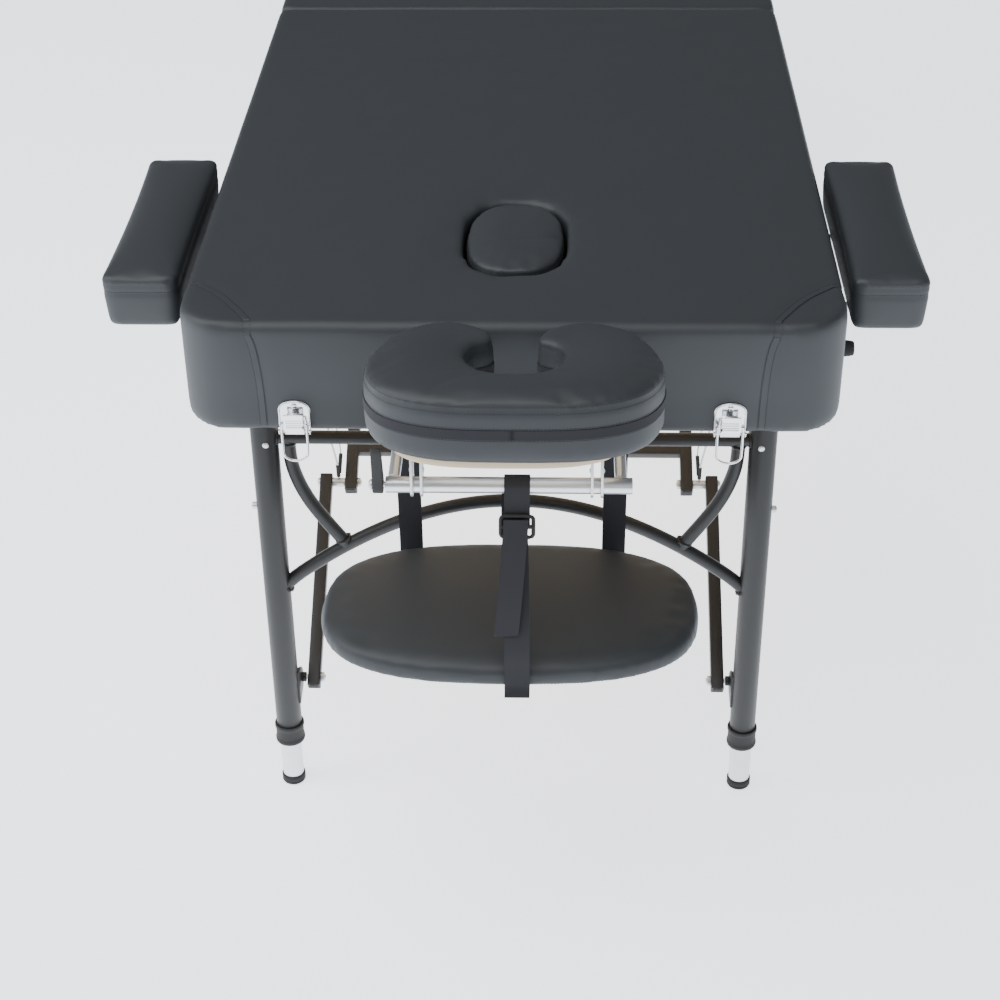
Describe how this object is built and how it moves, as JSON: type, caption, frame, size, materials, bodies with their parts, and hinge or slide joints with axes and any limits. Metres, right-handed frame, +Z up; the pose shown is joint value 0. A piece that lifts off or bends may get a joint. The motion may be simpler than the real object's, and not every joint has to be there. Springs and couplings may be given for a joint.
{
  "type": "portable massage table",
  "caption": "Folding two-section massage table with face cradle, hanging arm shelf, side armrests, breath hole with plug, telescopic legs and folding braces.",
  "frame": {"origin": "centre of the table's footprint on the floor, under the middle of its box", "axes": "+Z up, +Y from the head end with the face cradle to the foot end, +X to the right of someone looking along +Y"},
  "size_m": [0.894, 2.1108, 0.6967],
  "materials": {
    "vinyl": "black upholstery vinyl, satin, over foam",
    "wood": "clear-coated pale hardwood",
    "plywood": "clear-coated birch plywood",
    "black_steel": "black satin powder coat",
    "aluminium": "drawn tube, satin",
    "zinc": "zinc-plated steel",
    "chrome": "bright plated steel",
    "black_plastic": "moulded, satin",
    "rubber": "moulded, matt",
    "webbing": "black nylon webbing",
    "cable": "twisted steel wire rope"
  },
  "bodies": {
    "head_half": {"head_pad": "vinyl", "head_wood_frame": "wood", "head_hinge_leaf": "zinc", "head_bumper_1": "rubber", "head_bumper_2": "rubber", "latch_base_l": "chrome", "latch_base_r": "chrome", "head_cable_a": "cable", "head_cable_b": "cable"},
    "foot_half": {"foot_pad": "vinyl", "foot_wood_frame": "wood", "foot_hinge_leaf": "zinc", "foot_bumper_1": "rubber", "foot_bumper_2": "rubber", "keeper_l": "chrome", "keeper_r": "chrome", "foot_cable_a": "cable", "foot_cable_b": "cable"},
    "breath_plug": {"breath_plug": "vinyl"},
    "cradle_mount": {"cradle_frame": "aluminium", "shelf_harness": "webbing"},
    "cradle_head": {"cradle_platform": "plywood", "cradle_bracket": "zinc", "cradle_cushion": "vinyl"},
    "cradle_lever": {"cradle_lever": "black_plastic"},
    "arm_shelf": {"arm_shelf": "vinyl"},
    "head_legs": {"head_leg_frame": "black_steel", "head_a_collar": "black_plastic", "head_b_collar": "black_plastic"},
    "head_arms": {"head_brace_arms": "black_steel"},
    "head_strut_a": {"head_strut_a": "black_steel"},
    "head_inner_leg_a": {"head_a_inner_leg": "aluminium", "head_a_foot_cap": "rubber"},
    "head_button_a": {"head_a_button": "zinc"},
    "head_strut_b": {"head_strut_b": "black_steel"},
    "head_inner_leg_b": {"head_b_inner_leg": "aluminium", "head_b_foot_cap": "rubber"},
    "head_button_b": {"head_b_button": "zinc"},
    "foot_legs": {"foot_leg_frame": "black_steel", "foot_a_collar": "black_plastic", "foot_b_collar": "black_plastic"},
    "foot_arms": {"foot_brace_arms": "black_steel"},
    "foot_strut_a": {"foot_strut_a": "black_steel"},
    "foot_inner_leg_a": {"foot_a_inner_leg": "aluminium", "foot_a_foot_cap": "rubber"},
    "foot_button_a": {"foot_a_button": "zinc"},
    "foot_strut_b": {"foot_strut_b": "black_steel"},
    "foot_inner_leg_b": {"foot_b_inner_leg": "aluminium", "foot_b_foot_cap": "rubber"},
    "foot_button_b": {"foot_b_button": "zinc"},
    "armrest_l": {"armrest_pad_l": "vinyl", "armrest_bracket_l": "zinc"},
    "latch_lever_l": {"latch_lever_l": "chrome"},
    "latch_bail_l": {"latch_bail_l": "chrome"},
    "armrest_r": {"armrest_pad_r": "vinyl", "armrest_bracket_r": "zinc"},
    "latch_lever_r": {"latch_lever_r": "chrome"},
    "latch_bail_r": {"latch_bail_r": "chrome"},
    "head_handle": {"head_handle": "webbing"},
    "foot_handle": {"foot_handle": "webbing"}
  },
  "joints": [
    {"name": "centre_fold", "type": "hinge", "parent": "head_half", "child": "foot_half", "pos_m": [0, 0.12085, 0.5165], "axis": [-1, 0, 0], "range_deg": [0, 180]},
    {"name": "head_leg_fold", "type": "hinge", "parent": "head_half", "child": "head_legs", "pos_m": [0, -0.76915, 0.5525], "axis": [1, 0, 0], "range_deg": [0, 90]},
    {"name": "head_arm_fold", "type": "hinge", "parent": "head_half", "child": "head_arms", "pos_m": [0, -0.03915, 0.5745], "axis": [-1, 0, 0], "range_deg": [0, 31.64], "deforming": ["head_cable_a", "head_cable_b"]},
    {"name": "head_strut_a_fold", "type": "hinge", "parent": "head_legs", "child": "head_strut_a", "pos_m": [-0.239, -0.74715, 0.14], "axis": [1, 0, 0], "range_deg": [0, 58.56]},
    {"name": "head_leg_a_height", "type": "slide", "parent": "head_legs", "child": "head_inner_leg_a", "axis": [0, 0, -1], "range_m": [0, 0.24]},
    {"name": "head_button_a_press", "type": "slide", "parent": "head_legs", "child": "head_button_a", "axis": [1, 0, 0], "range_m": [0, 0.003], "stiffness_N_per_m": 400, "springref_m": -0.002},
    {"name": "head_strut_b_fold", "type": "hinge", "parent": "head_legs", "child": "head_strut_b", "pos_m": [0.239, -0.74715, 0.14], "axis": [1, 0, 0], "range_deg": [0, 58.56]},
    {"name": "head_leg_b_height", "type": "slide", "parent": "head_legs", "child": "head_inner_leg_b", "axis": [0, 0, -1], "range_m": [0, 0.24]},
    {"name": "head_button_b_press", "type": "slide", "parent": "head_legs", "child": "head_button_b", "axis": [-1, 0, 0], "range_m": [0, 0.003], "stiffness_N_per_m": 400, "springref_m": -0.002},
    {"name": "foot_leg_fold", "type": "hinge", "parent": "foot_half", "child": "foot_legs", "pos_m": [0, 1.01085, 0.5525], "axis": [-1, 0, 0], "range_deg": [0, 90]},
    {"name": "foot_arm_fold", "type": "hinge", "parent": "foot_half", "child": "foot_arms", "pos_m": [0, 0.28085, 0.5745], "axis": [1, 0, 0], "range_deg": [0, 31.64], "deforming": ["foot_cable_a", "foot_cable_b"]},
    {"name": "foot_strut_a_fold", "type": "hinge", "parent": "foot_legs", "child": "foot_strut_a", "pos_m": [0.275, 0.98885, 0.14], "axis": [-1, 0, 0], "range_deg": [0, 58.56]},
    {"name": "foot_leg_a_height", "type": "slide", "parent": "foot_legs", "child": "foot_inner_leg_a", "axis": [0, 0, -1], "range_m": [0, 0.24]},
    {"name": "foot_button_a_press", "type": "slide", "parent": "foot_legs", "child": "foot_button_a", "axis": [-1, 0, 0], "range_m": [0, 0.003], "stiffness_N_per_m": 400, "springref_m": -0.002},
    {"name": "foot_strut_b_fold", "type": "hinge", "parent": "foot_legs", "child": "foot_strut_b", "pos_m": [-0.275, 0.98885, 0.14], "axis": [-1, 0, 0], "range_deg": [0, 58.56]},
    {"name": "foot_leg_b_height", "type": "slide", "parent": "foot_legs", "child": "foot_inner_leg_b", "axis": [0, 0, -1], "range_m": [0, 0.24]},
    {"name": "foot_button_b_press", "type": "slide", "parent": "foot_legs", "child": "foot_button_b", "axis": [1, 0, 0], "range_m": [0, 0.003], "stiffness_N_per_m": 400, "springref_m": -0.002},
    {"name": "breath_plug_lift", "type": "slide", "parent": "head_half", "child": "breath_plug", "axis": [0, 0, 1], "range_m": [0, 0.1]},
    {"name": "cradle_slide", "type": "slide", "parent": "head_half", "child": "cradle_mount", "axis": [0, -1, 0], "range_m": [0, 0.13]},
    {"name": "cradle_tilt", "type": "hinge", "parent": "cradle_mount", "child": "cradle_head", "pos_m": [0, -0.99415, 0.576], "axis": [1, 0, 0], "range_deg": [-6, 40]},
    {"name": "cradle_lever_turn", "type": "hinge", "parent": "cradle_mount", "child": "cradle_lever", "pos_m": [-0.1245, -0.99415, 0.576], "axis": [1, 0, 0], "range_deg": [0, 90]},
    {"name": "arm_shelf_swing", "type": "hinge", "parent": "cradle_mount", "child": "arm_shelf", "pos_m": [0, -0.93715, 0.576], "axis": [-1, 0, 0], "range_deg": [-4, 10], "deforming": ["shelf_harness"]},
    {"name": "armrest_l_pull", "type": "slide", "parent": "head_half", "child": "armrest_l", "axis": [-1, 0, 0], "range_m": [0, 0.08]},
    {"name": "latch_lever_l_lift", "type": "hinge", "parent": "head_half", "child": "latch_lever_l", "pos_m": [-0.229, -0.81535, 0.5255], "axis": [1, 0, 0], "range_deg": [0, 130]},
    {"name": "latch_bail_l_swing", "type": "hinge", "parent": "latch_lever_l", "child": "latch_bail_l", "pos_m": [-0.229, -0.81885, 0.5355], "axis": [1, 0, 0], "range_deg": [-130, 0]},
    {"name": "armrest_r_pull", "type": "slide", "parent": "head_half", "child": "armrest_r", "axis": [1, 0, 0], "range_m": [0, 0.08]},
    {"name": "latch_lever_r_lift", "type": "hinge", "parent": "head_half", "child": "latch_lever_r", "pos_m": [0.229, -0.81535, 0.5255], "axis": [1, 0, 0], "range_deg": [0, 130]},
    {"name": "latch_bail_r_swing", "type": "hinge", "parent": "latch_lever_r", "child": "latch_bail_r", "pos_m": [0.229, -0.81885, 0.5355], "axis": [1, 0, 0], "range_deg": [-130, 0]},
    {"name": "head_handle_swing", "type": "hinge", "parent": "head_half", "child": "head_handle", "pos_m": [-0.3532, -0.24915, 0.583], "axis": [0, 1, 0], "range_deg": [0, 100]},
    {"name": "foot_handle_swing", "type": "hinge", "parent": "foot_half", "child": "foot_handle", "pos_m": [-0.3532, 0.49085, 0.583], "axis": [0, 1, 0], "range_deg": [0, 100]}
  ],
  "couplings": [
    {"joint": "head_leg_fold", "follows": "centre_fold", "ratio": 0.5},
    {"joint": "head_arm_fold", "follows": "centre_fold", "ratio": 0.17521},
    {"joint": "head_strut_a_fold", "follows": "centre_fold", "ratio": 0.32479},
    {"joint": "head_strut_b_fold", "follows": "centre_fold", "ratio": 0.32479},
    {"joint": "foot_leg_fold", "follows": "centre_fold", "ratio": 0.5},
    {"joint": "foot_arm_fold", "follows": "centre_fold", "ratio": 0.17521},
    {"joint": "foot_strut_a_fold", "follows": "centre_fold", "ratio": 0.32479},
    {"joint": "foot_strut_b_fold", "follows": "centre_fold", "ratio": 0.32479},
    {"joint": "latch_bail_l_swing", "follows": "latch_lever_l_lift", "ratio": -1},
    {"joint": "latch_bail_r_swing", "follows": "latch_lever_r_lift", "ratio": -1}
  ]
}
